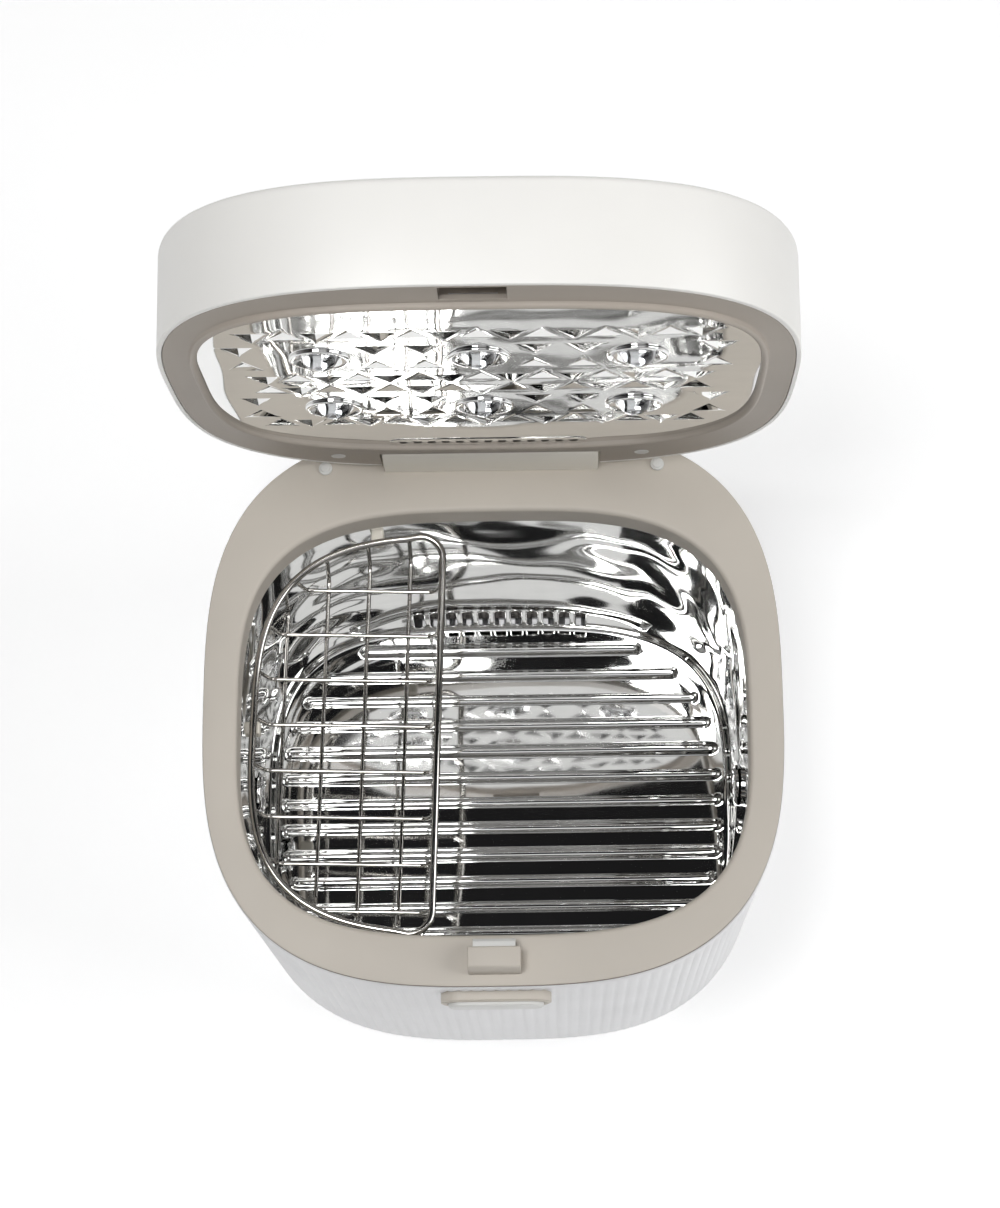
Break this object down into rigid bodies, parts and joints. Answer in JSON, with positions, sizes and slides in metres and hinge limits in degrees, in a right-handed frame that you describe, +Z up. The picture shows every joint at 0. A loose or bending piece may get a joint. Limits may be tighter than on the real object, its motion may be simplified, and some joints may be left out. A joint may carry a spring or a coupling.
{
  "type": "bottle steriliser and dryer",
  "caption": "Top-loading steriliser and dryer: fluted body, mirror steel chamber, wire rack, push-button latch and a hinged lid with domed lamps.",
  "frame": {"origin": "on the resting plane, under the centre of the base's plan outline", "axes": "+Z up, +X to the user's right, -Y towards the latch at the front"},
  "size_m": [0.3198, 0.3538, 0.5521],
  "materials": {
    "white_shell": "satin",
    "warm_white_shell": "satin",
    "taupe_deck": "matte",
    "taupe_ring": "matte",
    "white_button": "satin",
    "cream_cover": "matte",
    "mirror_steel": "mirror polished",
    "polished_wire": "electropolished",
    "chrome_ring": "polished",
    "clear_lens": "clear",
    "silicone": "matte",
    "rubber": "matte",
    "plain_steel": "satin",
    "dark_plastic": "matte",
    "filter_foam": "matte",
    "circuit_board": "satin",
    "dark_glass": "gloss"
  },
  "bodies": {
    "base": {"base_shell": "white_shell", "base_plate": "white_shell", "foot_ring": "rubber", "base_screws": "plain_steel", "deck_ring": "taupe_deck", "chamber_liner": "mirror_steel", "slot_mesh": "dark_plastic", "rack_pegs": "silicone", "side_lens_rings": "chrome_ring", "side_lenses": "clear_lens", "side_lamp_boards": "circuit_board", "deck_bumpers": "white_button", "latch_tower": "taupe_deck", "rocker_bracket": "dark_plastic", "rocker_pin": "plain_steel", "release_bezel": "taupe_deck", "release_spring": "plain_steel", "hinge_cover": "cream_cover", "hinge_block": "dark_plastic", "hinge_pins": "plain_steel", "hinge_springs": "plain_steel", "air_duct": "dark_plastic", "heater": "plain_steel", "blower_housing": "dark_plastic", "blower_motor": "plain_steel", "air_filter": "filter_foam", "inlet_grille": "white_shell", "power_board": "circuit_board", "power_inlet": "dark_plastic"},
    "lid": {"lid_shell": "warm_white_shell", "lid_ring": "taupe_ring", "lid_plugs": "white_button", "latch_keeper": "plain_steel", "hinge_arms": "dark_plastic", "reflector_plate": "mirror_steel", "lens_rings": "chrome_ring", "lens_domes": "clear_lens", "lamp_board": "circuit_board", "lid_screws": "plain_steel", "touch_panel": "dark_glass", "control_board": "circuit_board"},
    "button": {"release_button": "white_button"},
    "rocker": {"release_rocker": "dark_plastic"},
    "tongue": {"latch_tongue": "white_button"},
    "rack": {"rack_frame": "polished_wire", "rack_grid": "polished_wire"},
    "fan": {"blower_wheel": "dark_plastic"}
  },
  "joints": [
    {"name": "lid_hinge", "type": "hinge", "parent": "base", "child": "lid", "pos_m": [0, 0.1462, 0.2445], "axis": [1, 0, 0], "range_deg": [0, 85]},
    {"name": "button_press", "type": "slide", "parent": "base", "child": "button", "axis": [0, 1, 0], "range_m": [0, 0.0035], "stiffness_N_per_m": 800, "springref_m": -0.002, "deforming": ["release_spring"]},
    {"name": "rocker_turn", "type": "hinge", "parent": "base", "child": "rocker", "pos_m": [0, -0.1435, 0.209], "axis": [1, 0, 0], "range_deg": [0, 17]},
    {"name": "tongue_slide", "type": "slide", "parent": "base", "child": "tongue", "axis": [0, -1, 0], "range_m": [0, 0.0036]},
    {"name": "rack_lift", "type": "slide", "parent": "base", "child": "rack", "axis": [0, 0, 1], "range_m": [0, 0.014]},
    {"name": "fan_spin", "type": "hinge", "parent": "base", "child": "fan", "pos_m": [0, 0.128, 0.144], "axis": [0, 1, 0], "continuous": true}
  ],
  "couplings": [
    {"joint": "rocker_turn", "follows": "button_press", "rad_per_m": 83.333},
    {"joint": "tongue_slide", "follows": "button_press", "ratio": 1}
  ]
}
